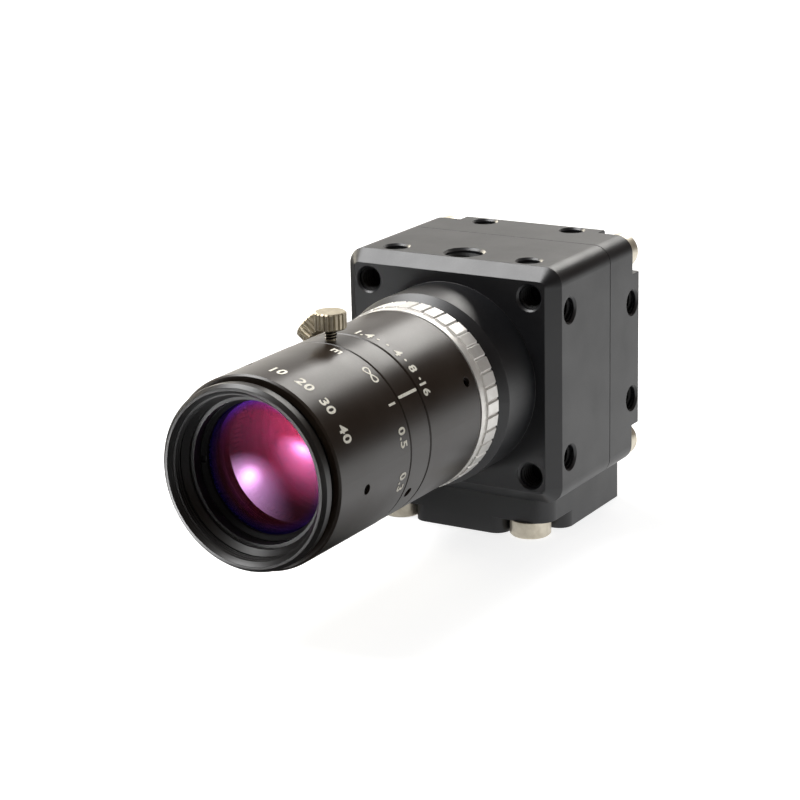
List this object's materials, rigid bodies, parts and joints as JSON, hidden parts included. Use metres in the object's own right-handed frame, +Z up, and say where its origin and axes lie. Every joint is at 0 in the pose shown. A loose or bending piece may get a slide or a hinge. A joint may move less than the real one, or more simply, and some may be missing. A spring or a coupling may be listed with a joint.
{
  "type": "machine vision camera",
  "caption": "Industrial camera with a square metal housing on a mounting base, and a screw-in lens with turning focus and iris rings and knurled lock screws.",
  "frame": {"origin": "centre of the tripod thread's mouth, under the base", "axes": "-Y is the way the lens looks, +Z is up, +X is to the right for someone facing the lens"},
  "size_m": [0.04, 0.0968, 0.047],
  "materials": {
    "black_anodised": "black anodised, satin",
    "black_matt": "black anodised, matt",
    "blade_steel": "blackened spring steel",
    "bright_aluminium": "satin, natural",
    "nickel_brass": "nickel plated",
    "steel": "bright",
    "black_steel": "black oxide",
    "optical_glass": "coated optical glass",
    "filter_glass": "coated filter glass",
    "board_green": "solder mask",
    "chip_black": "moulded",
    "ceramic_grey": "ceramic package",
    "socket_metal": "nickel plated",
    "contact_gold": "gold plated",
    "light_lens": "clear, tinted"
  },
  "bodies": {
    "housing": {"base_screws": "steel", "board_connector_front": "chip_black", "board_connector_rear": "chip_black", "board_screws": "steel", "cell_guide_pin": "black_steel", "cover_screws": "steel", "data_socket_insert": "chip_black", "data_socket_shell": "socket_metal", "filter_ring": "black_anodised", "front_case": "black_anodised", "front_standoffs": "steel", "image_sensor": "ceramic_grey", "index_ring": "black_anodised", "interface_board": "board_green", "io_pins": "contact_gold", "io_socket_insert": "chip_black", "io_socket_shell": "socket_metal", "ir_filter": "filter_glass", "iris_base": "black_matt", "jack_screws": "steel", "lens_mount_ring": "bright_aluminium", "main_barrel": "black_anodised", "mounting_base": "black_anodised", "processor_board": "board_green", "processor_chips": "chip_black", "rear_cell": "black_anodised", "rear_cover": "black_anodised", "rear_element_1": "optical_glass", "rear_element_2": "optical_glass", "rear_retaining_ring": "black_matt", "rear_spacer": "black_matt", "rear_standoffs": "steel", "sensor_board": "board_green", "sensor_glass": "filter_glass", "status_light": "light_lens"},
    "focus_group": {"focus_ring": "black_anodised", "focus_set_screws": "black_steel"},
    "front_group": {"front_cell": "black_anodised", "front_retaining_ring": "black_matt", "front_element": "optical_glass", "cell_spacer": "black_matt", "second_element": "optical_glass", "inner_spacer": "black_matt", "third_element": "optical_glass"},
    "iris_group": {"iris_ring": "black_anodised", "iris_set_screws": "black_steel", "cam_ring": "black_matt", "iris_drive_pin": "black_steel"},
    "focus_lock": {"focus_lock_screw": "nickel_brass"},
    "iris_lock": {"iris_lock_screw": "nickel_brass"},
    "blade_1": {"iris_blade_1": "blade_steel"},
    "blade_2": {"iris_blade_2": "blade_steel"},
    "blade_3": {"iris_blade_3": "blade_steel"},
    "blade_4": {"iris_blade_4": "blade_steel"},
    "blade_5": {"iris_blade_5": "blade_steel"},
    "blade_6": {"iris_blade_6": "blade_steel"}
  },
  "joints": [
    {"name": "focus_turn", "type": "hinge", "parent": "housing", "child": "focus_group", "pos_m": [0, -0.06405, 0.027], "axis": [0, -1, 0], "range_deg": [-19.3, 48.6]},
    {"name": "front_slide", "type": "slide", "parent": "housing", "child": "front_group", "axis": [0, -1, 0], "range_m": [-0.00014, 0.000355]},
    {"name": "iris_turn", "type": "hinge", "parent": "housing", "child": "iris_group", "pos_m": [0, -0.04005, 0.027], "axis": [0, -1, 0], "range_deg": [-48, 2]},
    {"name": "focus_lock_turn", "type": "hinge", "parent": "housing", "child": "focus_lock", "pos_m": [0, -0.05205, 0.044], "axis": [0, 0, 1], "range_deg": [0, 720]},
    {"name": "iris_lock_turn", "type": "hinge", "parent": "iris_group", "child": "iris_lock", "pos_m": [-0.01345, -0.03485, 0.0374], "axis": [-0.7912, 0, 0.6115], "range_deg": [0, 720]},
    {"name": "blade_1_turn", "type": "hinge", "parent": "housing", "child": "blade_1", "pos_m": [0.011, -0.04465, 0.027], "axis": [0, -1, 0], "range_deg": [-28.33, 1.19]},
    {"name": "blade_2_turn", "type": "hinge", "parent": "housing", "child": "blade_2", "pos_m": [0.0055, -0.04465, 0.03653], "axis": [0, -1, 0], "range_deg": [-28.33, 1.19]},
    {"name": "blade_3_turn", "type": "hinge", "parent": "housing", "child": "blade_3", "pos_m": [-0.0055, -0.04465, 0.03653], "axis": [0, -1, 0], "range_deg": [-28.33, 1.19]},
    {"name": "blade_4_turn", "type": "hinge", "parent": "housing", "child": "blade_4", "pos_m": [-0.011, -0.04465, 0.027], "axis": [0, -1, 0], "range_deg": [-28.33, 1.19]},
    {"name": "blade_5_turn", "type": "hinge", "parent": "housing", "child": "blade_5", "pos_m": [-0.0055, -0.04465, 0.01747], "axis": [0, -1, 0], "range_deg": [-28.33, 1.19]},
    {"name": "blade_6_turn", "type": "hinge", "parent": "housing", "child": "blade_6", "pos_m": [0.0055, -0.04465, 0.01747], "axis": [0, -1, 0], "range_deg": [-28.33, 1.19]}
  ],
  "couplings": [
    {"joint": "focus_turn", "follows": "front_slide", "rad_per_m": 2381},
    {"joint": "blade_1_turn", "follows": "iris_turn", "ratio": 0.59},
    {"joint": "blade_2_turn", "follows": "iris_turn", "ratio": 0.59},
    {"joint": "blade_3_turn", "follows": "iris_turn", "ratio": 0.59},
    {"joint": "blade_4_turn", "follows": "iris_turn", "ratio": 0.59},
    {"joint": "blade_5_turn", "follows": "iris_turn", "ratio": 0.59},
    {"joint": "blade_6_turn", "follows": "iris_turn", "ratio": 0.59}
  ]
}
